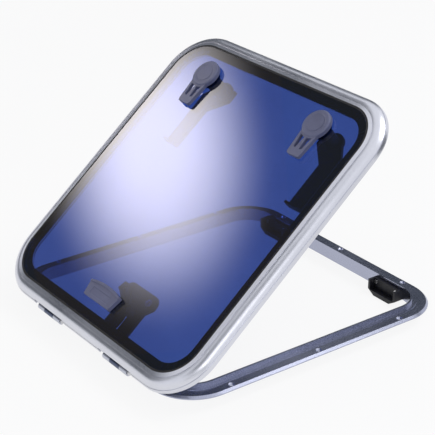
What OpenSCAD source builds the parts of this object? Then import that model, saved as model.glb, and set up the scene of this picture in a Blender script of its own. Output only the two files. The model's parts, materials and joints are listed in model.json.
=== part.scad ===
// Low-profile deck hatch: bolt-down base frame, hinged lid with a smoked lens,
// two turn handles and a friction arm that holds the lid at any angle.
// Millimetres. Z = 0 is the deck, the hinge edge is at -Y, the handle edge at +Y.
// Lid parts are drawn with the lid closed and then turned about the hinge line.

/* [Base frame] */
// Width of the deck flange, along the hinge edge
base_w = 470; // [380:1:700]
// Length of the deck flange, hinge edge to handle edge
base_l = 492; // [400:1:700]
// Outer corner radius of the deck flange
base_r = 70; // [55:1:90]
// Distance from the flange's outer edge to the clear opening
flange_band = 27; // [24:0.5:40]
// Thickness of the deck flange
flange_t = 4.6; // [3.5:0.1:7]
// Height of the thin outer edge under the bevel
edge_t = 1.6; // [1:0.1:3]
// Width of the raised track beside the lip
track_w = 7; // [4:0.5:10]
// Rise of that track above the flange
track_rise = 0.8; // [0.4:0.1:1.2]
// Wall of the lip and of the spigot
wall_t = 3; // [2.5:0.1:4]
// Height of the sealing lip above the deck
lip_h = 10.5; // [9:0.1:14]
// Depth of the spigot below the deck
spigot_d = 11; // [9:0.5:40]

/* [Deck screws] */
// Diameter of the deck screw holes
hole_d = 5.2; // [4:0.1:6.5]
// Diameter of their countersinks
csk_d = 9.6; // [8:0.1:12]
// Distance from the flange's outer edge to the hole centres
hole_inset = 8.5; // [8:0.5:12]
// Spacing of the holes along each long side
pitch_side = 155; // [110:1:180]
// Spacing of the holes along the hinge and handle edges
pitch_end = 146; // [135:1:170]

/* [Lid] */
// How far the lid stands out past the flange all round
overhang = 8; // [7:0.5:12]
// Width of the lid frame beside the lens
frame_band = 22.5; // [20:0.5:30]
// Radius of the bullnose on the lid frame
nose_r = 16.5; // [14:0.5:18]
// Wall of the lid frame at the bullnose
nose_wall = 3; // [2.4:0.1:4]
// Height of the lid frame
lid_h = 17.5; // [16:0.5:20]
// Fall of the lid's top strip towards the bullnose
strip_fall = 1.5; // [0.5:0.1:2]
// Width of the ledge that carries the lens
ledge_w = 17; // [14:0.5:22]
// Thickness of that ledge
ledge_t = 2.8; // [2.4:0.1:4]
// How far the lid is open in this model, in degrees
lid_open = 40; // [0:1:80]
// How far the lid can open, in degrees
lid_max = 80; // [60:1:80]

/* [Lens and seals] */
// Thickness of the lens
lens_t = 8; // [6:0.5:12]
// Width of the sealant joint round the lens
seal_w = 3; // [2:0.5:5]
// Thickness of the black bond under the lens edge
border_t = 0.6; // [0.4:0.1:1.5]
// Thickness of the gasket under the ledge
gasket_t = 1.8; // [1.5:0.1:4]
// Width of that gasket
gasket_w = 10; // [8:0.5:12]

/* [Hinges] */
// Distance of each hinge from the lid's middle
hinge_x = 90; // [80:1:100]
// Radius of the knuckles
knuckle_r = 5.5; // [4.8:0.1:5.8]
// Width of the base knuckle
mid_knuckle = 24; // [18:1:30]
// Width of each lid knuckle
side_knuckle = 18; // [14:1:22]
// Radius of the hinge pins
pin_r = 2.5; // [2:0.1:3]
// Height of the hinge line above the deck
axis_z = 6; // [5.9:0.1:7]
// Distance of the hinge line inside the lid's outer edge
axis_in = 2; // [1.5:0.1:2.5]
// Thickness of the hinge leaves
leaf_t = 2.4; // [2:0.1:2.6]

/* [Handles and strikers] */
// Distance of each handle from the lid's middle
handle_x = 132; // [110:1:150]
// Distance of the handles from the clear opening's handle edge
handle_in = 38; // [36:1:60]
// Diameter of the outer handle's disc
disc_d = 46; // [40:1:52]
// Reach of the outer handle's arm from the spindle
arm_reach = 57; // [48:1:66]
// Height of the outer handle above the lens
handle_h = 10.5; // [9:0.5:16]
// Radius of the spindle
spindle_r = 6; // [5:0.5:8]
// Depth of the inner lever's top face under the lens top
lever_depth = 44; // [42:0.5:60]
// Thickness of the inner lever
lever_t = 6; // [4:0.5:8]
// Reach of the inner lever from the spindle
lever_reach = 112; // [90:1:120]
// Sideways offset of the inner lever's blade
lever_offset = 19; // [14:1:24]
// Width of the inner lever's blade
lever_w = 28; // [22:1:30]
// Reach of the latch tongue from the spindle
tongue_reach = 26; // [25:1:30]
// How far the strikers sit outboard of the handles
striker_shift = 3; // [0:0.5:3]
// Depth of the striker from the wall
striker_depth = 16; // [15:0.5:17]
// Width of the striker
striker_w = 60; // [50:1:70]

/* [Friction arm] */
// Distance of the arm's pivot inside the opening
pivot_in = 7.5; // [7:0.5:9]
// Depth of the arm's pivot below the deck
pivot_drop = 12; // [11:0.5:16]
// Distance from the arm's pivot to the clamp pin, along the arm
clamp_a = 52; // [50:1:54]
// Height of the clamp pin above the arm's pivot
clamp_b = 11; // [10:0.5:13]
// Radius of the clamp pin
clamp_r = 3; // [2.5:0.1:3.5]
// Width of the arm's neck
neck_w = 60; // [54:1:66]
// Width of the arm's head
head_w = 80; // [72:1:90]
// Length of the arm from its pivot
arm_len = 92; // [88:1:100]
// Thickness of the arm's plate
arm_t = 4; // [3:0.5:5]
// Thickness of the quadrant that the arm clamps
quadrant_t = 8; // [6:0.5:10]
// Width of the friction cap at its handle side
cap_w = 76; // [66:1:90]
// Length of the friction cap
cap_l = 29; // [24:1:34]
// Height of the friction cap
cap_h = 7.5; // [5:0.5:10]

/* [Clearances] */
// Gap between the lip and the gasket when the lid is closed
seal_gap = 0.3; // [0.2:0.1:0.6]
// Radial gap of the turning pins and spindles
run_gap = 0.05; // [0.02:0.01:0.1]
// Side gap between parts that turn past each other
side_gap = 0.35; // [0.3:0.05:0.6]
// Gap round the clamp pin in its slot
slot_gap = 0.35; // [0.3:0.05:0.6]

/* [Hidden] */
$fn = 72;
eps = 0.01;

// Heights, built up from the sealing lip
gasket_z = lip_h + seal_gap;
ledge_z = gasket_z + gasket_t;
border_z = ledge_z + ledge_t;
lens_z = border_z + border_t;
glass_z = lens_z + lens_t;
skirt_z = glass_z - lid_h;
nose_z = glass_z - strip_fall - nose_r;

// Plan sizes
open_w = base_w - 2*flange_band;
open_l = base_l - 2*flange_band;
lid_w = base_w + 2*overhang;
lid_l = base_l + 2*overhang;
lid_r = base_r + overhang;
glass_w = lid_w - 2*frame_band;
glass_l = lid_l - 2*frame_band;
glass_r = lid_r - frame_band;
lens_w = glass_w - 2*seal_w;
lens_l = glass_l - 2*seal_w;
lens_r = glass_r - seal_w;
strip_w = frame_band - nose_r;

// Hinge line
axis_y = -lid_l/2 + axis_in;
hinge_half = mid_knuckle/2 + side_gap + side_knuckle;
pocket_half = hinge_half + 11;
pocket_h = 8.5;
pocket_in = 6;
bush_wall = 0.9;
bush_r = pin_r + run_gap + bush_wall;
leaf_screw_x = 20;
leaf_screw_in = 14;

// Small screws
screw_r = 1.6;
head_r = 3.1;
screw_head_h = 1.5;

// Handles
handle_y = open_l/2 - handle_in;
lever_z = glass_z - lever_depth;
bush_barrel_r = spindle_r + 3;
bezel_r = 17;
bezel_h = 2;
nut_r = 15;
nut_h = 5;
hub_r = 18;
handle_rise = 0.6;
dish_t = 0.9;
cap_d = 27;
striker_top = 5;
striker_bottom = lever_z + 0.5;
striker_screw_x = 22;
striker_x = handle_x + striker_shift;
striker_back = 6;
striker_hook = 7;

// Friction arm. The arm turns with the lid, so seen from the lid its pivot runs
// round the hinge line, and the clamp pin follows an arc of the same radius.
pivot_y = -open_l/2 + pivot_in;
pivot_z = -pivot_drop;
pivot_dy = pivot_y - axis_y;
pivot_dz = pivot_z - axis_z;
slot_r = sqrt(pivot_dy*pivot_dy + pivot_dz*pivot_dz);
slot_start = atan2(pivot_dz, pivot_dy);
slot_y = axis_y + clamp_a;
slot_z = axis_z + clamp_b;
slot_half = clamp_r + slot_gap;
rim = 4;
barrel_r = 5;
pivot_pin_r = 3;
barrel_half = 26;
bracket_t = 2;
bracket_ear = 6;
bracket_top = 6;
bracket_screw_x = 18;
bracket_screw_z = 1.5;
ear_t = 5;
pad_t = 1;
pad_gap = 0.3;
ear_x = quadrant_t/2 + pad_gap + pad_t;
window_half = quadrant_t/2 + 0.6;
window_end = clamp_a + 6;
neck_end = 60;
head_start = 73;
head_corner = 14;
knob_r = 9;
knob_t = 8;
screw_a = 78;
screw_x = 24;
cover_screw_r = 4;
cover_t = 2.5;
cap_y = slot_y + 13;
cap_taper = 6;
cap_bolt_x = 20;
cap_bolt_r = 2.5;
foot_t = 4;
ridge_r = 140;
ridge_w = 3.2;
ridge_in = 0.8;
ridge_h = 1.6;

// ---------------------------------------------------------------- helpers

module rounded(w, l, r) {
  square([w - 2*r, l], center = true);
  square([w, l - 2*r], center = true);
  for (sx = [-1, 1], sy = [-1, 1])
    translate([sx*(w/2 - r), sy*(l/2 - r)]) circle(r);
}

module rounded_ring(w, l, r, band, h) {
  linear_extrude(h) difference() {
    rounded(w, l, r);
    rounded(w - 2*band, l - 2*band, r - band);
  }
}

// Runs a section (x = distance in from the outer edge, y = height) straight
module run(len) {
  translate([0, len/2, 0]) rotate([90, 0, 0]) linear_extrude(len) mirror([1, 0]) children();
}

// Runs the same section round a rounded rectangle
module frame_run(w, l, r) {
  for (turn = [0, 180]) rotate(turn) {
    translate([w/2, 0, 0]) run(l - 2*r) children();
    rotate(90) translate([l/2, 0, 0]) run(w - 2*r) children();
    translate([w/2 - r, l/2 - r, 0]) rotate_extrude(angle = 90) translate([r, 0]) mirror([1, 0]) children();
    rotate(90) translate([l/2 - r, w/2 - r, 0])
      rotate_extrude(angle = 90) translate([r, 0]) mirror([1, 0]) children();
  }
}

module along_x(r, x0, x1) {
  translate([x0, 0, 0]) rotate([0, 90, 0]) cylinder(r = r, h = x1 - x0);
}

module lid_pose() {
  translate([0, axis_y, axis_z]) rotate([lid_open, 0, 0]) translate([0, -axis_y, -axis_z]) children();
}

// Arm axes: Y along the arm, Z away from its plate, origin on the pivot
module arm_pose() {
  translate([0, pivot_y, pivot_z]) rotate([lid_open, 0, 0]) children();
}

module handle_place(side) {
  lid_pose() translate([side*handle_x, handle_y, glass_z]) children();
}

module screw(r, len, head_r, head_h) {
  translate([0, 0, -len]) cylinder(r = r, h = len);
  cylinder(r = head_r, h = head_h);
}

module flat_screw(r, len, head_r) {
  translate([0, 0, -len]) cylinder(r = r, h = len);
  translate([0, 0, -(head_r - r)]) cylinder(r1 = r, r2 = head_r, h = head_r - r);
}

// ---------------------------------------------------------------- base

module base_section() {
  polygon([
    [0, 0], [0, edge_t], [flange_t - edge_t, flange_t],
    [flange_band - wall_t - track_w, flange_t], [flange_band - wall_t - track_w, flange_t + track_rise],
    [flange_band - wall_t, flange_t + track_rise], [flange_band - wall_t, lip_h],
    [flange_band, lip_h], [flange_band, -spigot_d], [flange_band - wall_t, -spigot_d],
    [flange_band - wall_t, 0]
  ]);
}

module deck_holes() {
  for (sx = [-1, 1], k = [-1, 0, 1]) translate([sx*(base_w/2 - hole_inset), k*pitch_side, 0]) deck_hole();
  for (sy = [-1, 1], k = [-1, 0, 1]) translate([k*pitch_end, sy*(base_l/2 - hole_inset), 0]) deck_hole();
}

module deck_hole() {
  csk_h = (csk_d - hole_d)/2;
  translate([0, 0, -1]) cylinder(d = hole_d, h = flange_t + 2);
  translate([0, 0, flange_t - csk_h]) cylinder(d1 = hole_d, d2 = csk_d, h = csk_h + eps);
}

module base_frame() {
  color([0.22, 0.24, 0.32]) difference() {
    frame_run(base_w, base_l, base_r) base_section();
    deck_holes();
    for (side = [-1, 1], sx = [-1, 1]) translate([side*striker_x + sx*striker_screw_x, open_l/2, 0])
      rotate([-90, 0, 0]) translate([0, 0, -1]) cylinder(r = screw_r, h = wall_t + 2);
    for (side = [-1, 1], sx = [-1, 1]) translate([side*hinge_x + sx*leaf_screw_x, axis_y + leaf_screw_in, -1])
      cylinder(r = screw_r, h = flange_t + 2);
    for (sx = [-1, 1]) translate([sx*bracket_screw_x, -open_l/2 - wall_t - 1, bracket_screw_z])
      rotate([-90, 0, 0]) cylinder(r = screw_r, h = wall_t + 2);
  }
}

module striker(side) {
  ramp = 8;
  color([0.05, 0.05, 0.06]) translate([side*striker_x, open_l/2, 0]) difference() {
    translate([-striker_w/2, -striker_depth, striker_bottom])
      cube([striker_w, striker_depth, striker_top - striker_bottom]);
    // relieved face above the hooking lip
    translate([-striker_w/2 + 4, -striker_depth - 1, striker_bottom + striker_hook])
      cube([striker_w - 8, striker_depth - striker_back + 1, striker_top - striker_bottom]);
    // lead-in ramps for the latch tongue
    for (m = [0, 1]) mirror([m, 0, 0]) translate([striker_w/2, -striker_depth - 1, striker_bottom])
      rotate([-90, 0, 0]) linear_extrude(striker_depth + 2)
        polygon([[1, 1], [1, -ramp], [-eps, -ramp], [-1.6*ramp, 0], [-1.6*ramp, 1]]);
    for (sx = [-1, 1]) translate([sx*striker_screw_x, -striker_depth - 1, 0])
      rotate([-90, 0, 0]) cylinder(r = screw_r, h = striker_depth + 2);
  }
}
module striker_left() striker(-1);
module striker_right() striker(1);

module striker_screws() {
  color([0.75, 0.75, 0.77]) for (side = [-1, 1], sx = [-1, 1])
    translate([side*striker_x + sx*striker_screw_x, open_l/2 - striker_back, 0]) rotate([90, 0, 0])
      screw(screw_r, striker_back + wall_t, head_r, screw_head_h);
}

module hinge_base(side) {
  foot_y = axis_y + 6.4;
  color([0.2, 0.21, 0.28]) translate([side*hinge_x, 0, 0]) difference() {
    union() {
      translate([0, axis_y, axis_z]) along_x(knuckle_r, -mid_knuckle/2, mid_knuckle/2);
      translate([-mid_knuckle/2, axis_y, flange_t]) cube([mid_knuckle, 8, leaf_t]);
      translate([-hinge_half + 2, foot_y, flange_t]) cube([2*hinge_half - 4, 12.5, leaf_t]);
    }
    translate([0, axis_y, axis_z]) along_x(pin_r, -mid_knuckle, mid_knuckle);
    for (sx = [-1, 1]) translate([sx*leaf_screw_x, axis_y + leaf_screw_in, flange_t - 1]) {
      cylinder(r = screw_r, h = leaf_t + 2);
      translate([0, 0, 1 + leaf_t - head_r + screw_r]) cylinder(r1 = screw_r, r2 = head_r, h = head_r - screw_r);
      translate([0, 0, 1 + leaf_t]) cylinder(r = head_r, h = 1);
    }
  }
}
module hinge_base_left() hinge_base(-1);
module hinge_base_right() hinge_base(1);

module hinge_base_screws() {
  color([0.75, 0.75, 0.77]) for (side = [-1, 1], sx = [-1, 1])
    translate([side*hinge_x + sx*leaf_screw_x, axis_y + leaf_screw_in, flange_t + leaf_t])
      flat_screw(screw_r, leaf_t + flange_t, head_r);
}

module hinge_pin(side) {
  color([0.8, 0.8, 0.82]) translate([side*hinge_x, axis_y, axis_z]) {
    along_x(pin_r, -hinge_half - 1, hinge_half + 1);
    along_x(pin_r + 1.2, hinge_half + side_gap + 0.9, hinge_half + 2.4);
    along_x(pin_r, hinge_half, hinge_half + 2);
  }
}
module hinge_pin_left() hinge_pin(-1);
module hinge_pin_right() hinge_pin(1);

module arm_bracket() {
  ear_in = barrel_half + side_gap;
  color([0.06, 0.06, 0.07]) difference() {
    union() {
      translate([-ear_in - bracket_ear - 4, -open_l/2, pivot_z - barrel_r])
        cube([2*(ear_in + bracket_ear + 4), bracket_t, bracket_top - pivot_z + barrel_r]);
      for (m = [0, 1]) mirror([m, 0, 0]) {
        translate([ear_in, pivot_y, pivot_z]) along_x(barrel_r, 0, bracket_ear);
        translate([ear_in, -open_l/2, pivot_z - barrel_r]) cube([bracket_ear, pivot_in, 2*barrel_r]);
      }
    }
    translate([0, pivot_y, pivot_z]) along_x(pivot_pin_r, -40, 40);
    for (sx = [-1, 1]) translate([sx*bracket_screw_x, -open_l/2 - 1, bracket_screw_z])
      rotate([-90, 0, 0]) cylinder(r = screw_r, h = bracket_t + 2);
    // room for the quadrant, which swings down past the wall
    translate([-window_half, -open_l/2 - 1, pivot_z - 20]) cube([2*window_half, bracket_t + 2, 22]);
  }
}

module arm_bracket_screws() {
  color([0.75, 0.75, 0.77]) for (sx = [-1, 1])
    translate([sx*bracket_screw_x, -open_l/2 + bracket_t, bracket_screw_z])
      rotate([-90, 0, 0]) screw(screw_r, wall_t + bracket_t, head_r, screw_head_h);
}

// A stub pin each side, so that the quadrant swings through between them
module arm_pivot_pins() {
  color([0.8, 0.8, 0.82]) translate([0, pivot_y, pivot_z]) for (m = [0, 1]) mirror([m, 0, 0])
    along_x(pivot_pin_r, window_half, barrel_half + side_gap + bracket_ear);
}

// ---------------------------------------------------------------- lid

module lid_section() {
  groove = 1.1;
  groove_depth = 0.7;
  line_rise = 6.5;
  line_x = nose_r - sqrt(nose_r*nose_r - line_rise*line_rise);
  wall_z = skirt_z + 2.5;
  difference() {
    union() {
      intersection() {
        translate([nose_r, nose_z]) difference() {
          circle(nose_r);
          circle(nose_r - nose_wall);
        }
        translate([0, skirt_z]) square([nose_r + eps, lid_h]);
      }
      polygon([
        [nose_r, wall_z], [nose_r, glass_z - strip_fall], [frame_band, glass_z], [frame_band, border_z],
        [frame_band + ledge_w, border_z], [frame_band + ledge_w, ledge_z], [frame_band, ledge_z],
        [frame_band, wall_z]
      ]);
    }
    // fine line beside the top strip, and another above the lower edge band
    translate([nose_r - groove/2, glass_z - strip_fall - groove_depth]) square([groove, 3]);
    translate([-1, nose_z + line_rise]) square([1 + line_x + groove_depth, groove]);
  }
}

module lid_frame() {
  color([0.78, 0.79, 0.82]) lid_pose() difference() {
    frame_run(lid_w, lid_l, lid_r) lid_section();
    for (side = [-1, 1]) {
      translate([side*hinge_x - pocket_half, -lid_l/2 - 1, skirt_z - 1])
        cube([2*pocket_half, pocket_in + 1, pocket_h + 1]);
      for (sx = [-1, 1]) translate([side*hinge_x + sx*leaf_screw_x, -lid_l/2 + nose_r - 2, ledge_z + 1])
        rotate([-90, 0, 0]) cylinder(r = screw_r, h = strip_w + 1);
    }
  }
}

module lens() {
  color([0.25, 0.33, 0.55, 0.55]) lid_pose() difference() {
    translate([0, 0, lens_z]) linear_extrude(lens_t) rounded(lens_w, lens_l, lens_r);
    for (side = [-1, 1]) translate([side*handle_x, handle_y, lens_z - 1])
      cylinder(r = bush_barrel_r, h = lens_t + 2);
    for (sx = [-1, 1]) translate([sx*cap_bolt_x, cap_y, lens_z - 1]) cylinder(r = cap_bolt_r, h = lens_t + 2);
  }
}

module lens_border() {
  color([0.03, 0.03, 0.04]) lid_pose() translate([0, 0, border_z])
    rounded_ring(glass_w, glass_l, glass_r, ledge_w, border_t);
}

module lens_seal() {
  color([0.02, 0.02, 0.02]) lid_pose() translate([0, 0, lens_z])
    rounded_ring(glass_w, glass_l, glass_r, seal_w, lens_t - 0.2);
}

module lid_gasket() {
  mid = flange_band - wall_t/2 + overhang;
  edge = mid - gasket_w/2;
  color([0.05, 0.05, 0.05]) lid_pose() translate([0, 0, gasket_z])
    rounded_ring(lid_w - 2*edge, lid_l - 2*edge, lid_r - edge, gasket_w, gasket_t);
}

module hinge_lid(side) {
  pad_y = -lid_l/2 + nose_r - leaf_t;
  web_z = axis_z + 1.8;
  color([0.74, 0.75, 0.78]) lid_pose() translate([side*hinge_x, 0, 0]) difference() {
    union() {
      for (m = [0, 1]) mirror([m, 0, 0]) {
        translate([0, axis_y, axis_z]) along_x(knuckle_r, mid_knuckle/2 + side_gap, hinge_half);
        translate([mid_knuckle/2 + side_gap, axis_y, web_z]) cube([side_knuckle, 8, leaf_t]);
      }
      translate([-hinge_half, axis_y + 7.5, web_z]) cube([2*hinge_half, pad_y - axis_y - 7, leaf_t]);
      translate([-hinge_half, pad_y, web_z]) cube([2*hinge_half, leaf_t, ledge_z + 5 - web_z]);
    }
    for (s = [-1, 1]) translate([s*(mid_knuckle/2 + side_gap + side_knuckle/2), axis_y, axis_z])
      along_x(bush_r, -side_knuckle, side_knuckle);
    for (sx = [-1, 1]) translate([sx*leaf_screw_x, pad_y - 1, ledge_z + 1])
      rotate([-90, 0, 0]) cylinder(r = screw_r, h = leaf_t + 2);
  }
}
module hinge_lid_left() hinge_lid(-1);
module hinge_lid_right() hinge_lid(1);

module hinge_lid_screws() {
  color([0.75, 0.75, 0.77]) lid_pose() for (side = [-1, 1], sx = [-1, 1])
    translate([side*hinge_x + sx*leaf_screw_x, -lid_l/2 + nose_r - leaf_t, ledge_z + 1])
      rotate([90, 0, 0]) screw(screw_r, leaf_t + strip_w - 1.5, head_r, screw_head_h);
}

module hinge_bushes() {
  color([0.9, 0.9, 0.88]) lid_pose() for (side = [-1, 1], m = [0, 1])
    translate([side*hinge_x, axis_y, axis_z]) mirror([m, 0, 0]) difference() {
      along_x(bush_r, mid_knuckle/2 + side_gap, hinge_half);
      along_x(pin_r + run_gap, mid_knuckle/2, hinge_half + 1);
    }
}

// ---------------------------------------------------------------- friction unit

module cap_plan(grow) {
  w0 = cap_w/2 - cap_taper + grow;
  w1 = cap_w/2 + grow;
  intersection() {
    polygon([[-w0, -cap_l/2 - grow], [w0, -cap_l/2 - grow], [w1, cap_l/2 + grow], [-w1, cap_l/2 + grow]]);
    translate([0, cap_l/2 - ridge_r]) circle(ridge_r + grow);
  }
}

module friction_cap() {
  color([0.47, 0.47, 0.49]) lid_pose() translate([0, cap_y, glass_z + 1]) difference() {
    union() {
      linear_extrude(cap_h - 1) cap_plan(0);
      // curved ridge along the handle side
      translate([0, 0, cap_h - 1]) linear_extrude(ridge_h) difference() {
        cap_plan(-ridge_in);
        translate([0, cap_l/2 - ridge_r]) circle(ridge_r - ridge_in - ridge_w);
      }
    }
    // bare label panel
    translate([-cap_w/2 + 15, -cap_l/2 + 5.5, cap_h - 1.8]) cube([cap_w - 30, 11, 2]);
    for (sx = [-1, 1]) translate([sx*cap_bolt_x, 0, -1]) cylinder(r = cap_bolt_r, h = cap_h - 3);
  }
}

module friction_cap_gasket() {
  color([0.03, 0.03, 0.03]) lid_pose() translate([0, cap_y, glass_z]) difference() {
    linear_extrude(1) cap_plan(-1);
    for (sx = [-1, 1]) translate([sx*cap_bolt_x, 0, -1]) cylinder(r = cap_bolt_r, h = 3);
  }
}

// A pie slice from angle a0 to a1, used to cut rings into arcs
module wedge(a0, a1) {
  reach = 2*slot_r + 60;
  polygon([[0, 0], for (k = [0 : 4]) reach*[cos(a0 + (a1 - a0)*k/4), sin(a0 + (a1 - a0)*k/4)]]);
}

// An arc of the slot's radius, from the closed position of the pin to the open one
module slot_arc(half, extra) {
  translate([slot_y, slot_z]) intersection() {
    difference() {
      circle(slot_r + half);
      circle(slot_r - half);
    }
    wedge(slot_start + extra, slot_start - lid_max - extra);
  }
}

// Side view of the quadrant, drawn with x = world Y and y = world Z, lid closed
module quadrant_side() {
  end_turn = atan2(slot_half, slot_r);
  rim_turn = atan2(slot_half + rim - 1, slot_r);
  difference() {
    union() {
      slot_arc(slot_half + rim, rim_turn);
      translate([cap_y - 13, slot_z - slot_r - 1]) square([26, lens_z - foot_t - slot_z + slot_r + 2]);
    }
    slot_arc(slot_half, end_turn);
    translate([cap_y - 7, slot_z - slot_r + 12]) square([14, slot_r - 26]);
    translate([cap_y - 60, lens_z - foot_t + 1]) square([120, 60]);
  }
}

module friction_quadrant() {
  color([0.07, 0.07, 0.08]) lid_pose() difference() {
    union() {
      translate([quadrant_t/2, 0, 0]) rotate([90, 0, -90]) mirror([1, 0, 0])
        linear_extrude(quadrant_t) quadrant_side();
      translate([0, cap_y, lens_z - foot_t]) linear_extrude(foot_t) cap_plan(-6);
    }
    for (sx = [-1, 1]) translate([sx*cap_bolt_x, cap_y, lens_z - foot_t - 1])
      cylinder(r = cap_bolt_r, h = foot_t + 2);
  }
}

module friction_bolts() {
  tail = 5;
  color([0.8, 0.8, 0.82]) lid_pose() for (sx = [-1, 1])
    translate([sx*cap_bolt_x, cap_y, lens_z - foot_t - tail])
      cylinder(r = cap_bolt_r, h = tail + foot_t + lens_t + cap_h - 4);
}

module friction_bolt_nuts() {
  nut_t = 4;
  color([0.8, 0.8, 0.82]) lid_pose() for (sx = [-1, 1])
    translate([sx*cap_bolt_x, cap_y, lens_z - foot_t - nut_t]) difference() {
      cylinder(r = 4.6, h = nut_t, $fn = 6);
      translate([0, 0, -1]) cylinder(r = cap_bolt_r, h = nut_t + 2);
    }
}

module arm_plan() {
  difference() {
    union() {
      translate([-neck_w/2, 0]) square([neck_w, neck_end + 1]);
      polygon([[-neck_w/2, neck_end], [neck_w/2, neck_end], [head_w/2, head_start], [-head_w/2, head_start]]);
      translate([-head_w/2, head_start - eps]) square([head_w, arm_len - head_start - head_corner + eps]);
      translate([-head_w/2 + head_corner, head_start - eps])
        square([head_w - 2*head_corner, arm_len - head_start + eps]);
      for (sx = [-1, 1]) translate([sx*(head_w/2 - head_corner), arm_len - head_corner]) circle(head_corner);
    }
    // window for the quadrant
    translate([-window_half, -1]) square([2*window_half, window_end + 1]);
  }
}

module friction_arm() {
  color([0.1, 0.1, 0.11]) arm_pose() difference() {
    union() {
      translate([0, 0, -barrel_r]) linear_extrude(arm_t) arm_plan();
      for (m = [0, 1]) mirror([m, 0, 0]) {
        along_x(barrel_r, window_half, barrel_half);
        translate([ear_x, clamp_a - 9, -barrel_r]) cube([ear_t, 18, barrel_r + clamp_b]);
        translate([0, clamp_a, clamp_b]) along_x(7, ear_x, ear_x + ear_t);
      }
    }
    along_x(pivot_pin_r + run_gap, -barrel_half - 1, barrel_half + 1);
    translate([0, clamp_a, clamp_b]) along_x(clamp_r, -40, 40);
    translate([screw_x, screw_a, -barrel_r - 1]) cylinder(r = cover_screw_r, h = arm_t + 2);
    // room for the bracket's ears
    for (m = [0, 1]) mirror([m, 0, 0])
      translate([barrel_half, -1, -barrel_r - 1]) cube([bracket_ear + 2, barrel_r + 4, arm_t + 2]);
  }
}

module friction_pads() {
  color([0.55, 0.35, 0.2]) arm_pose() for (m = [0, 1]) mirror([m, 0, 0]) translate([0, clamp_a, clamp_b])
    difference() {
      along_x(6.5, quadrant_t/2 + pad_gap, ear_x);
      along_x(clamp_r, 0, 20);
    }
}

module clamp_pin() {
  color([0.8, 0.8, 0.82]) arm_pose() translate([0, clamp_a, clamp_b]) {
    along_x(clamp_r, -ear_x - ear_t, ear_x + ear_t + side_gap + knob_t + 1);
    along_x(clamp_r + 2, -ear_x - ear_t - 3, -ear_x - ear_t);
    along_x(clamp_r + 1.5, ear_x + ear_t + 2*side_gap + knob_t, ear_x + ear_t + 2*side_gap + knob_t + 1.2);
  }
}

module friction_knob() {
  knob_x = ear_x + ear_t + side_gap;
  lobes = 6;
  color([0.12, 0.12, 0.13]) arm_pose() translate([0, clamp_a, clamp_b]) difference() {
    union() {
      along_x(knob_r - 2, knob_x, knob_x + knob_t);
      along_x(knob_r, knob_x + 1.5, knob_x + knob_t - 1);
    }
    along_x(clamp_r + run_gap, 0, 40);
    for (k = [0 : lobes - 1]) rotate([k*360/lobes, 0, 0]) translate([0, knob_r + 0.8, 0])
      along_x(2.2, knob_x - 1, knob_x + knob_t + 1);
  }
}

module arm_cover() {
  margin = 4;
  color([0.08, 0.08, 0.09]) arm_pose() translate([0, 0, -barrel_r - cover_t]) linear_extrude(cover_t)
    difference() {
      translate([-neck_w/2 + margin, window_end]) square([neck_w - 2*margin, arm_len - window_end - margin]);
      translate([screw_x, screw_a]) circle(cover_screw_r);
    }
}

module arm_cover_screw() {
  color([0.6, 0.6, 0.62]) arm_pose() translate([screw_x, screw_a, arm_t - barrel_r]) difference() {
    screw(cover_screw_r, arm_t + cover_t, cover_screw_r + 2, 1.4);
    translate([0, 0, -3]) cylinder(r = cover_screw_r - 0.8, h = 6);
  }
}

// ---------------------------------------------------------------- handles

module handle_bush(side) {
  color([0.3, 0.3, 0.32]) handle_place(side) difference() {
    union() {
      cylinder(r = bezel_r - 1, h = bezel_h);
      translate([0, 0, -lens_t - nut_h]) cylinder(r = bush_barrel_r, h = lens_t + nut_h + 1);
    }
    translate([0, 0, -40]) cylinder(r = spindle_r + run_gap, h = 60);
    translate([0, 0, -3]) cylinder(r = spindle_r + 1.6, h = 2);
  }
}
module handle_bush_left() handle_bush(-1);
module handle_bush_right() handle_bush(1);

module handle_gaskets() {
  color([0.03, 0.03, 0.03]) for (side = [-1, 1]) handle_place(side) translate([0, 0, -lens_t - 1]) difference() {
    cylinder(r = bezel_r, h = 1);
    translate([0, 0, -1]) cylinder(r = bush_barrel_r, h = 3);
  }
}

module handle_nut(side) {
  sleeve_z = -lever_depth + side_gap;
  color([0.08, 0.08, 0.09]) handle_place(side) difference() {
    union() {
      translate([0, 0, -lens_t - 1 - nut_h]) cylinder(r = nut_r, h = nut_h);
      translate([0, 0, sleeve_z]) cylinder(r = 12, h = -sleeve_z - lens_t - 1);
    }
    translate([0, 0, -lens_t - nut_h]) cylinder(r = bush_barrel_r, h = nut_h + 1);
    translate([0, 0, -60]) cylinder(r = spindle_r + 0.5, h = 60);
  }
}
module handle_nut_left() handle_nut(-1);
module handle_nut_right() handle_nut(1);

module spindle_seals() {
  color([0.03, 0.03, 0.03]) for (side = [-1, 1]) handle_place(side) translate([0, 0, -2])
    rotate_extrude() translate([spindle_r + 0.85, 0]) circle(0.75, $fn = 24);
}

module spindle(side) {
  color([0.8, 0.8, 0.82]) handle_place(side)
    translate([0, 0, -lever_depth - lever_t]) cylinder(r = spindle_r, h = lever_depth + lever_t + 5);
}
module spindle_left() spindle(-1);
module spindle_right() spindle(1);

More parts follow.
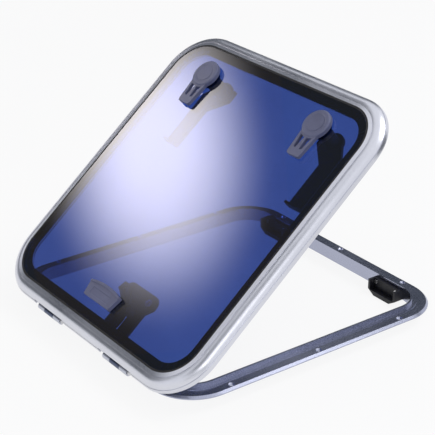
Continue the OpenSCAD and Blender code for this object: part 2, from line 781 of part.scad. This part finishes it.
module outer_handle(side) {
  low = bezel_h + handle_rise;
  color([0.42, 0.42, 0.45]) handle_place(side) difference() {
    union() {
      translate([0, 0, low]) cylinder(d = disc_d, h = handle_h - low - 1.5);
      translate([0, 0, handle_h - 1.5]) cylinder(d1 = disc_d, d2 = disc_d - 4, h = 1.5);
      translate([0, 0, low]) linear_extrude(handle_h - low - 2) union() {
        polygon([[-17, -10], [17, -10], [13, -arm_reach + 4], [-13, -arm_reach + 4]]);
        translate([-9, -arm_reach]) square([18, 8]);
        for (sx = [-1, 1]) translate([sx*9, -arm_reach + 4]) circle(4);
      }
    }
    // shallow dish in the disc
    translate([0, 0, handle_h - dish_t]) cylinder(d1 = disc_d - 17, d2 = disc_d - 12, h = dish_t + eps);
    // windows either side of the rib
    for (m = [0, 1]) mirror([m, 0, 0]) translate([0, 0, low - 1]) linear_extrude(handle_h)
      polygon([[2.2, -25.5], [11.5, -23], [8.6, -arm_reach + 14], [4, -arm_reach + 12]]);
    translate([0, 0, low - 1]) cylinder(r = spindle_r, h = 5 - low + 1);
  }
}
module outer_handle_left() outer_handle(-1);
module outer_handle_right() outer_handle(1);

module handle_cap(side) {
  color([0.5, 0.5, 0.53]) handle_place(side)
    translate([0, 0, handle_h - dish_t]) cylinder(d = cap_d, h = 0.5);
}
module handle_cap_left() handle_cap(-1);
module handle_cap_right() handle_cap(1);

module inner_lever(side) {
  half = lever_w/2;
  color([0.05, 0.05, 0.06]) handle_place(side) mirror([side < 0 ? 1 : 0, 0, 0])
    translate([0, 0, -lever_depth - lever_t]) difference() {
      union() {
        linear_extrude(lever_t) union() {
          circle(hub_r);
          polygon([
            [hub_r - 4, 8], [lever_offset + half, -16], [lever_offset + half, -lever_reach],
            [lever_offset - half, -lever_reach], [lever_offset - half, -38],
            [-tongue_reach, -10], [-tongue_reach, 10], [0, 12]
          ]);
        }
        // upturned end lip; the corner towards the lid's middle is the latch tongue
        translate([lever_offset - half, -lever_reach, 0]) cube([lever_w, 4, lever_t + 9]);
      }
      translate([0, 0, -1]) cylinder(r = spindle_r, h = lever_t + 2);
    }
}
module inner_lever_left() inner_lever(-1);
module inner_lever_right() inner_lever(1);

module lever_screw(side) {
  color([0.75, 0.75, 0.77]) handle_place(side) translate([0, 0, -lever_depth - lever_t]) {
    translate([0, 0, -2]) cylinder(r = 8.5, h = 2);
    translate([0, 0, -4.5]) cylinder(r = 5, h = 2.5);
  }
}
module lever_screw_left() lever_screw(-1);
module lever_screw_right() lever_screw(1);

// ---------------------------------------------------------------- nodes

base_frame();
striker_left();
striker_right();
striker_screws();
hinge_base_left();
hinge_base_right();
hinge_base_screws();
hinge_pin_left();
hinge_pin_right();
arm_bracket();
arm_bracket_screws();
arm_pivot_pins();
lid_frame();
lens();
lens_border();
lens_seal();
lid_gasket();
hinge_lid_left();
hinge_lid_right();
hinge_lid_screws();
hinge_bushes();
friction_cap();
friction_cap_gasket();
friction_quadrant();
friction_bolts();
friction_bolt_nuts();
handle_bush_left();
handle_bush_right();
handle_gaskets();
handle_nut_left();
handle_nut_right();
spindle_seals();
friction_arm();
friction_pads();
clamp_pin();
friction_knob();
arm_cover();
arm_cover_screw();
outer_handle_left();
outer_handle_right();
handle_cap_left();
handle_cap_right();
spindle_left();
spindle_right();
inner_lever_left();
inner_lever_right();
lever_screw_left();
lever_screw_right();
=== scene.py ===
"""Looks of the deck hatch: finishes, softened edges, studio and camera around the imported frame."""
import json
import math

import bmesh
import bpy
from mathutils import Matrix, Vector

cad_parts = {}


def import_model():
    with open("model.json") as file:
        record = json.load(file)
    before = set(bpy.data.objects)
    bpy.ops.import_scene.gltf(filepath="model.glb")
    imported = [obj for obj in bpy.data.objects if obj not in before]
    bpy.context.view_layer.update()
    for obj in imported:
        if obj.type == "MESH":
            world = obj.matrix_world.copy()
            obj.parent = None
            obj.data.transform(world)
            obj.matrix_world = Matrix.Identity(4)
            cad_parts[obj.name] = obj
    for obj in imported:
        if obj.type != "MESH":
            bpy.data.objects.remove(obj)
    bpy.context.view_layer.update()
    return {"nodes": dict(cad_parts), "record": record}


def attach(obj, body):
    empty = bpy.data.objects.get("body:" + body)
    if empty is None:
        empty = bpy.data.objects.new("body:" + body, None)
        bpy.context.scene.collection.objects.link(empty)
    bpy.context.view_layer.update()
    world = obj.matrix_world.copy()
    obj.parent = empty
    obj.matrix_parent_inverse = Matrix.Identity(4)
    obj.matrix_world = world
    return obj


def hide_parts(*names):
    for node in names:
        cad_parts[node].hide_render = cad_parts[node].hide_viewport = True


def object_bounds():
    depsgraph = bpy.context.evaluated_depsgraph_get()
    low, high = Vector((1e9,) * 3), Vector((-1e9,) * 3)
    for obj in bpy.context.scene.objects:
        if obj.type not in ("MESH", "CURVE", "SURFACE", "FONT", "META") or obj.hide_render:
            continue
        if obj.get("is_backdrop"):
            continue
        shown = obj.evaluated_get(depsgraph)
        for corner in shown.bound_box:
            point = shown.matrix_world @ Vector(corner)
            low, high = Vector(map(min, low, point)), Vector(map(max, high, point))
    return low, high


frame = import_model()
NODES = frame["nodes"]
BODY_OF = {
    node: body
    for body, nodes in frame["record"]["behaviour"]["bodies"].items()
    for node in nodes
}
SLOT_OF = {part["node"]: part["material_slot"] for part in frame["record"]["subparts"]}

# ------------------------------------------------------------------ node helpers


# Texture scales, in cells per metre of the object
ETCH = 1500
TURNING = 1400
GRAIN = 2600
PORES = 1500
WEAVE = 260
SCUFF_PATCHES = 14
SCUFF_MARKS = 240


class Tree:
    """A material's node tree with short calls for what the finishes share."""

    def __init__(self, name):
        self.material = bpy.data.materials.new(name)
        self.material.use_nodes = True
        self.nodes = self.material.node_tree.nodes
        self.links = self.material.node_tree.links
        self.shader = self.nodes["Principled BSDF"]
        self.coords = self.nodes.new("ShaderNodeTexCoord").outputs["Object"]

    def set(self, **values):
        for name, value in values.items():
            self.shader.inputs[name.replace("_", " ")].default_value = value

    def join(self, start, end):
        self.links.new(start, end)

    def stretched(self, scale):
        node = self.nodes.new("ShaderNodeMapping")
        node.inputs["Scale"].default_value = scale
        self.join(self.coords, node.inputs["Vector"])
        return node.outputs["Vector"]

    def noise(self, scale, detail=4.0, rough=0.55, vector=None):
        node = self.nodes.new("ShaderNodeTexNoise")
        node.inputs["Scale"].default_value = scale
        node.inputs["Detail"].default_value = detail
        node.inputs["Roughness"].default_value = rough
        self.join(vector or self.coords, node.inputs["Vector"])
        return node.outputs["Fac"]

    def cells(self, scale):
        node = self.nodes.new("ShaderNodeTexVoronoi")
        node.inputs["Scale"].default_value = scale
        self.join(self.coords, node.inputs["Vector"])
        return node.outputs["Distance"]

    def ramp(self, value, stops):
        node = self.nodes.new("ShaderNodeValToRGB")
        ramp = node.color_ramp
        while len(ramp.elements) < len(stops):
            ramp.elements.new(0.5)
        for element, (place, color) in zip(ramp.elements, stops):
            element.position = place
            element.color = (*color, 1.0)
        self.join(value, node.inputs["Fac"])
        return node.outputs["Color"]

    def span(self, value, low, high, start=0.3, end=0.7):
        node = self.nodes.new("ShaderNodeMapRange")
        node.inputs["From Min"].default_value = start
        node.inputs["From Max"].default_value = end
        node.inputs["To Min"].default_value = low
        node.inputs["To Max"].default_value = high
        self.join(value, node.inputs["Value"])
        return node.outputs["Result"]

    def maths(self, operation, a, b):
        node = self.nodes.new("ShaderNodeMath")
        node.operation = operation
        for socket, value in zip(node.inputs, (a, b)):
            if isinstance(value, (int, float)):
                socket.default_value = value
            else:
                self.join(value, socket)
        return node.outputs["Value"]

    def mix(self, factor, a, b):
        node = self.nodes.new("ShaderNodeMix")
        node.data_type = "RGBA"
        factor_in, first_in, second_in = node.inputs[0], node.inputs[6], node.inputs[7]
        for socket, value in ((factor_in, factor), (first_in, a), (second_in, b)):
            if hasattr(value, "is_linked"):
                self.join(value, socket)
            else:
                socket.default_value = value if isinstance(value, float) else (*value, 1.0)
        return node.outputs[2]

    def bump(self, height, distance, strength=1.0):
        node = self.nodes.new("ShaderNodeBump")
        node.inputs["Distance"].default_value = distance
        node.inputs["Strength"].default_value = strength
        self.join(height, node.inputs["Height"])
        self.join(node.outputs["Normal"], self.shader.inputs["Normal"])

    def wear(self, share):
        """A few scuffed patches: share is how strong they are."""
        patches = self.span(self.noise(SCUFF_PATCHES, 6, 0.7), 0.0, 1.0, 0.56, 0.74)
        marks = self.span(self.noise(SCUFF_MARKS, 3), 0.0, share, 0.45, 0.7)
        return self.maths("MULTIPLY", patches, marks)

    def color_from(self, output):
        self.join(output, self.shader.inputs["Base Color"])

    def rough_from(self, output):
        self.join(output, self.shader.inputs["Roughness"])


def scaled(color, share):
    return [min(1.0, channel * share) for channel in color]


def anodised(name, color, rough, wear):
    """Anodised aluminium: fine matte etch, faint cloudiness, light handling marks."""
    t = Tree(name)
    cloud = t.noise(6, 4)
    etch = t.noise(ETCH, 3, 0.6)
    base = t.ramp(cloud, [(0.35, scaled(color, 0.95)), (0.65, scaled(color, 1.04))])
    t.color_from(t.mix(t.wear(0.3), base, wear))
    t.rough_from(t.span(t.maths("ADD", cloud, etch), rough - 0.05, rough + 0.06, 0.8, 1.2))
    t.set(Metallic=1.0)
    t.bump(etch, 0.00002, 0.15)
    return t.material


def steel(name):
    """Turned steel: fine lines from the lathe and a slightly uneven tone."""
    t = Tree(name)
    turned = t.noise(TURNING, 2, 0.5, t.stretched((0.15, 1.0, 1.0)))
    t.color_from(t.ramp(t.noise(40), [(0.3, (0.58, 0.58, 0.6)), (0.7, (0.72, 0.72, 0.74))]))
    t.rough_from(t.span(turned, 0.2, 0.36))
    t.set(Metallic=1.0)
    t.bump(turned, 0.00002, 0.4)
    return t.material


def moulded(name, color, rough, wear):
    """Moulded plastic: spark-eroded grain, slight colour drift, scuffs and fine scratches."""
    t = Tree(name)
    drift = t.noise(28, 5)
    grainy = t.noise(GRAIN, 2, 0.5)
    scratch = t.noise(60, 6, 0.75, t.stretched((1.0, 14.0, 3.0)))
    base = t.ramp(drift, [(0.3, scaled(color, 0.88)), (0.7, scaled(color, 1.1))])
    scuffed = t.mix(t.span(scratch, 0.0, 0.16, 0.62, 0.8), base, wear)
    t.color_from(t.mix(t.wear(0.25), scuffed, wear))
    t.rough_from(t.span(t.maths("ADD", grainy, drift), rough - 0.07, rough + 0.09, 0.8, 1.2))
    t.set(Specular_IOR_Level=0.45)
    t.bump(grainy, 0.00006, 0.6)
    return t.material


def rubber(name, color, rough):
    """Rubber and sealant: fine pores and a patchy dull sheen."""
    t = Tree(name)
    pores = t.cells(PORES)
    t.color_from(t.ramp(t.noise(60), [(0.35, color), (0.7, scaled(color, 1.9))]))
    t.rough_from(t.span(t.noise(200), rough - 0.08, rough + 0.08))
    t.bump(pores, 0.00005, 0.5)
    return t.material


def smoked_acrylic(name):
    """Tinted lens: see-through, deep blue and polished, with the faintest haze and smears."""
    t = Tree(name)
    haze = t.noise(7, 5)
    smears = t.noise(9, 6, 0.7, t.stretched((1.0, 4.0, 1.0)))
    t.color_from(t.ramp(haze, [(0.3, (0.028, 0.064, 0.30)), (0.7, (0.038, 0.080, 0.34))]))
    rough = t.span(haze, 0.004, 0.012)
    t.rough_from(t.maths("ADD", rough, t.span(smears, 0.0, 0.012, 0.5, 0.75)))
    t.set(Transmission_Weight=1.0, IOR=1.49, Specular_IOR_Level=0.7)
    t.set(Coat_Weight=1.0, Coat_IOR=1.6, Coat_Roughness=0.015)
    return t.material


def lining(name):
    """Friction lining: a coarse brown woven pad."""
    t = Tree(name)
    weave = t.nodes.new("ShaderNodeTexWave")
    weave.inputs["Scale"].default_value = WEAVE
    weave.inputs["Distortion"].default_value = 3
    t.join(t.coords, weave.inputs["Vector"])
    fibre = weave.outputs["Fac"]
    t.color_from(t.ramp(fibre, [(0.2, (0.16, 0.1, 0.06)), (0.8, (0.36, 0.24, 0.14))]))
    t.set(Roughness=0.85)
    t.bump(fibre, 0.0002)
    return t.material


MATERIALS = {
    "base_aluminium": anodised("base_aluminium", (0.40, 0.42, 0.53), 0.24, (0.52, 0.54, 0.62)),
    "lid_aluminium": anodised("lid_aluminium", (0.68, 0.69, 0.75), 0.30, (0.84, 0.85, 0.88)),
    "leaf_dark": anodised("leaf_dark", (0.10, 0.12, 0.19), 0.36, (0.3, 0.32, 0.4)),
    "leaf_silver": anodised("leaf_silver", (0.52, 0.54, 0.62), 0.34, (0.75, 0.76, 0.8)),
    "steel": steel("steel"),
    "lens_acrylic": smoked_acrylic("lens_acrylic"),
    "bond_black": rubber("bond_black", (0.004, 0.004, 0.006), 0.5),
    "rubber_black": rubber("rubber_black", (0.012, 0.012, 0.013), 0.6),
    "plastic_grey": moulded("plastic_grey", (0.125, 0.135, 0.23), 0.36, (0.24, 0.25, 0.34)),
    "plastic_black": moulded("plastic_black", (0.006, 0.006, 0.010), 0.48, (0.03, 0.03, 0.035)),
    "nylon_white": moulded("nylon_white", (0.75, 0.75, 0.71), 0.5, (0.8, 0.8, 0.77)),
    "friction_lining": lining("friction_lining"),
}
# The clamp pin is blacked, unlike the other steel
BLACKED_PIN = moulded("blacked_pin", (0.02, 0.02, 0.025), 0.35, (0.08, 0.08, 0.09))


def paint(obj, material):
    obj.data.materials.clear()
    obj.data.materials.append(material)


for node_name, node in NODES.items():
    paint(node, MATERIALS[SLOT_OF[node_name]])
paint(NODES["clamp_pin"], BLACKED_PIN)

# ------------------------------------------------------------------ softened edges

WELD = 1e-6
COPLANAR = math.radians(0.6)
EDGE_ANGLE = math.radians(28)
EDGE_SEGMENTS = 3
SOFT_SMOOTH = 40
PLAIN_SMOOTH = 25


def smooth(obj, degrees):
    bpy.context.view_layer.objects.active = obj
    bpy.ops.object.select_all(action="DESELECT")
    obj.select_set(True)
    bpy.ops.object.shade_smooth_by_angle(angle=math.radians(degrees), keep_sharp_edges=False)


def soften(node_name, width):
    """Replaces a CAD node by its own shape, coplanar facets merged and edges rounded."""
    mesh = NODES[node_name].data.copy()
    piece = bpy.data.objects.new(node_name + "_soft", mesh)
    bpy.context.scene.collection.objects.link(piece)
    bm = bmesh.new()
    bm.from_mesh(mesh)
    bmesh.ops.remove_doubles(bm, verts=bm.verts, dist=WELD)
    bmesh.ops.dissolve_limit(bm, angle_limit=COPLANAR, verts=bm.verts, edges=bm.edges)
    bm.to_mesh(mesh)
    bm.free()
    bevel = piece.modifiers.new("edges", "BEVEL")
    bevel.width = width
    bevel.segments = EDGE_SEGMENTS
    bevel.limit_method = "ANGLE"
    bevel.angle_limit = EDGE_ANGLE
    bpy.context.view_layer.objects.active = piece
    piece.select_set(True)
    bpy.ops.object.modifier_apply(modifier=bevel.name)
    smooth(piece, SOFT_SMOOTH)
    weighted = piece.modifiers.new("flat_faces", "WEIGHTED_NORMAL")
    weighted.keep_sharp = True
    bpy.ops.object.modifier_apply(modifier=weighted.name)
    paint(piece, MATERIALS[SLOT_OF[node_name]])
    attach(piece, BODY_OF[node_name])
    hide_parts(node_name)


# Width of the rounding on each softened node, in metres
SOFT_EDGES = {
    "outer_handle_left": 0.0012,
    "outer_handle_right": 0.0012,
    "friction_cap": 0.0005,
    "inner_lever_left": 0.0010,
    "inner_lever_right": 0.0010,
    "striker_left": 0.0008,
    "striker_right": 0.0008,
    "friction_arm": 0.0006,
    "arm_cover": 0.0005,
    "handle_bush_left": 0.0004,
    "handle_bush_right": 0.0004,
    "lens": 0.0005,
}
for soft_node, edge in SOFT_EDGES.items():
    soften(soft_node, edge)
for node_name, node in NODES.items():
    if node_name not in SOFT_EDGES:
        smooth(node, PLAIN_SMOOTH)

# ------------------------------------------------------------------ studio

# Camera, and its focal length as a share of the sensor width
LOOK_AT = Vector((-0.0448, 0.0211, 0.1041))
CAMERA_AT = Vector((1.5369, -1.1451, 1.0222))
FOCAL_SHARE = 3.2428
SENSOR_WIDTH = 36.0
FAR_CLIP = 50

# Floor and world
FLOOR_SIZE = 30
FLOOR_DROP = 0.0005
FLOOR_COLOR = (0.88, 0.88, 0.9, 1.0)
FLOOR_GLOW = 0.88
WORLD_COLOR = (0.95, 0.96, 1.0, 1.0)
WORLD_LIGHT = 0.55
SHOWN_RAYS = ("Is Camera Ray", "Is Glossy Ray", "Is Transmission Ray")

# Cards that only reflections see
LENS_MIDDLE = (-0.12, -0.06, 0.19)
SOFTBOX_AT = (-1.80, -0.66, 1.45)
SOFTBOX_COLOR = (1.0, 0.945, 0.95, 1.0)
FLAG_AT = (-1.86, -0.69, 1.50)
FLAG_COLOR = (0.75, 0.85, 1.0, 1.0)
FLAG_GLOW = 0.12
BASE_MIDDLE = (0.12, 0.05, 0.0)
BACK_FLAG_AT = (-1.10, 0.95, 0.72)
CORNER = (0.2, -0.25, 0.05)
FRONT_FLAG_AT = (0.45, -1.2, 1.15)
LOW_FLAG_TURNS = (45, 225, 315)
LOW_FLAG_REACH = 2.0
LOW_FLAG_HEIGHT = 0.62
LOW_FLAG_AIM = (0, 0, 0.05)


def shown_by(nodes, links, *rays):
    """1 for the kinds of ray named, such as Is Camera Ray, and 0 for the others."""
    path = nodes.new("ShaderNodeLightPath")
    total = path.outputs[rays[0]]
    for ray in rays[1:]:
        joined = nodes.new("ShaderNodeMath")
        joined.operation = "MAXIMUM"
        links.new(total, joined.inputs[0])
        links.new(path.outputs[ray], joined.inputs[1])
        total = joined.outputs["Value"]
    return total


def floor():
    """A pale floor that keeps the shadow and shows nearly white to the camera."""
    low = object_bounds()[0]
    bpy.ops.mesh.primitive_plane_add(size=FLOOR_SIZE, location=(0, 0, low[2] - FLOOR_DROP))
    plane = bpy.context.object
    plane.name = "floor"
    material = bpy.data.materials.new("floor")
    material.use_nodes = True
    nodes, links = material.node_tree.nodes, material.node_tree.links
    shader = nodes["Principled BSDF"]
    shader.inputs["Base Color"].default_value = FLOOR_COLOR
    shader.inputs["Roughness"].default_value = 0.9
    glow = nodes.new("ShaderNodeEmission")
    glow.inputs["Color"].default_value = (1.0, 1.0, 1.0, 1.0)
    mixer = nodes.new("ShaderNodeMixShader")
    scale = nodes.new("ShaderNodeMath")
    scale.operation = "MULTIPLY"
    scale.inputs[1].default_value = FLOOR_GLOW
    links.new(shown_by(nodes, links, *SHOWN_RAYS), scale.inputs[0])
    links.new(scale.outputs["Value"], mixer.inputs["Fac"])
    links.new(shader.outputs["BSDF"], mixer.inputs[1])
    links.new(glow.outputs["Emission"], mixer.inputs[2])
    links.new(mixer.outputs["Shader"], nodes["Material Output"].inputs["Surface"])
    plane.data.materials.append(material)
    plane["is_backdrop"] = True


def card(name, place, target, width, height, shader_for):
    """A staged card that faces the target, seen by the lens and metal but not by the camera."""
    bpy.ops.mesh.primitive_plane_add(size=1, location=place)
    plane = bpy.context.object
    plane.name = name
    plane.scale = (width, height, 1)
    away = Vector(place) - Vector(target)
    plane.rotation_euler = away.to_track_quat("Z", "Y").to_euler()
    plane.visible_camera = False
    plane.visible_shadow = False
    plane.visible_diffuse = False
    material = bpy.data.materials.new(name)
    material.use_nodes = True
    nodes, links = material.node_tree.nodes, material.node_tree.links
    nodes.clear()
    light = nodes.new("ShaderNodeEmission")
    shader_for(nodes, links, light)
    links.new(light.outputs["Emission"], nodes.new("ShaderNodeOutputMaterial").inputs["Surface"])
    plane.data.materials.append(material)
    plane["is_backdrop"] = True


def fading(strength, core):
    """Light that is full over the core of the card and fades out to its rim."""
    def make(nodes, links, light):
        coords = nodes.new("ShaderNodeTexCoord")
        length = nodes.new("ShaderNodeVectorMath")
        length.operation = "LENGTH"
        links.new(coords.outputs["Object"], length.inputs[0])
        fade = nodes.new("ShaderNodeMapRange")
        fade.interpolation_type = "SMOOTHERSTEP"
        fade.inputs["From Min"].default_value = core
        fade.inputs["From Max"].default_value = 0.5
        fade.inputs["To Min"].default_value = strength
        fade.inputs["To Max"].default_value = FLAG_GLOW
        links.new(length.outputs["Value"], fade.inputs["Value"])
        light.inputs["Color"].default_value = SOFTBOX_COLOR
        links.new(fade.outputs["Result"], light.inputs["Strength"])
    return make


def dim(nodes, links, light):
    """A dim even card, which darkens what reflects it."""
    light.inputs["Color"].default_value = FLAG_COLOR
    light.inputs["Strength"].default_value = FLAG_GLOW


def world():
    """Even light all round, which shows white to the camera and in gloss and glass."""
    scene_world = bpy.data.worlds.new("studio")
    bpy.context.scene.world = scene_world
    scene_world.use_nodes = True
    nodes, links = scene_world.node_tree.nodes, scene_world.node_tree.links
    background = nodes["Background"]
    background.inputs["Color"].default_value = WORLD_COLOR
    strength = nodes.new("ShaderNodeMapRange")
    strength.inputs["To Min"].default_value = WORLD_LIGHT
    strength.inputs["To Max"].default_value = 1.0
    links.new(shown_by(nodes, links, *SHOWN_RAYS), strength.inputs["Value"])
    links.new(strength.outputs["Result"], background.inputs["Strength"])


def lamp(name, place, target, size, power):
    data = bpy.data.lights.new(name, "AREA")
    data.size = size
    data.energy = power
    obj = bpy.data.objects.new(name, data)
    bpy.context.scene.collection.objects.link(obj)
    obj.location = place
    obj.rotation_euler = (Vector(target) - Vector(place)).to_track_quat("-Z", "Y").to_euler()


def camera():
    data = bpy.data.cameras.new("camera")
    obj = bpy.data.objects.new("camera", data)
    bpy.context.scene.collection.objects.link(obj)
    obj.location = CAMERA_AT
    obj.rotation_euler = (LOOK_AT - CAMERA_AT).to_track_quat("-Z", "Y").to_euler()
    data.sensor_width = SENSOR_WIDTH
    data.lens = FOCAL_SHARE * data.sensor_width
    data.clip_end = FAR_CLIP
    bpy.context.scene.camera = obj


floor()
world()
card("softbox", SOFTBOX_AT, LENS_MIDDLE, 1.25, 0.80, fading(5.8, 0.03))
card("flag", FLAG_AT, LENS_MIDDLE, 2.6, 2.2, dim)
card("flag_back", BACK_FLAG_AT, BASE_MIDDLE, 1.5, 0.9, dim)
card("flag_front", FRONT_FLAG_AT, CORNER, 0.9, 0.9, dim)
for number, degrees in enumerate(LOW_FLAG_TURNS):
    turn = math.radians(degrees)
    place = (LOW_FLAG_REACH * math.cos(turn), LOW_FLAG_REACH * math.sin(turn), LOW_FLAG_HEIGHT)
    card(f"flag_low_{number}", place, LOW_FLAG_AIM, 1.5, 0.8, dim)
lamp("key", (0.9, 1.5, 2.3), (0, 0, 0.15), 1.2, 24)
lamp("front", (2.2, -2.2, 1.6), (0, 0, 0.1), 1.2, 18)
camera()
bpy.context.scene.view_settings.view_transform = "Standard"
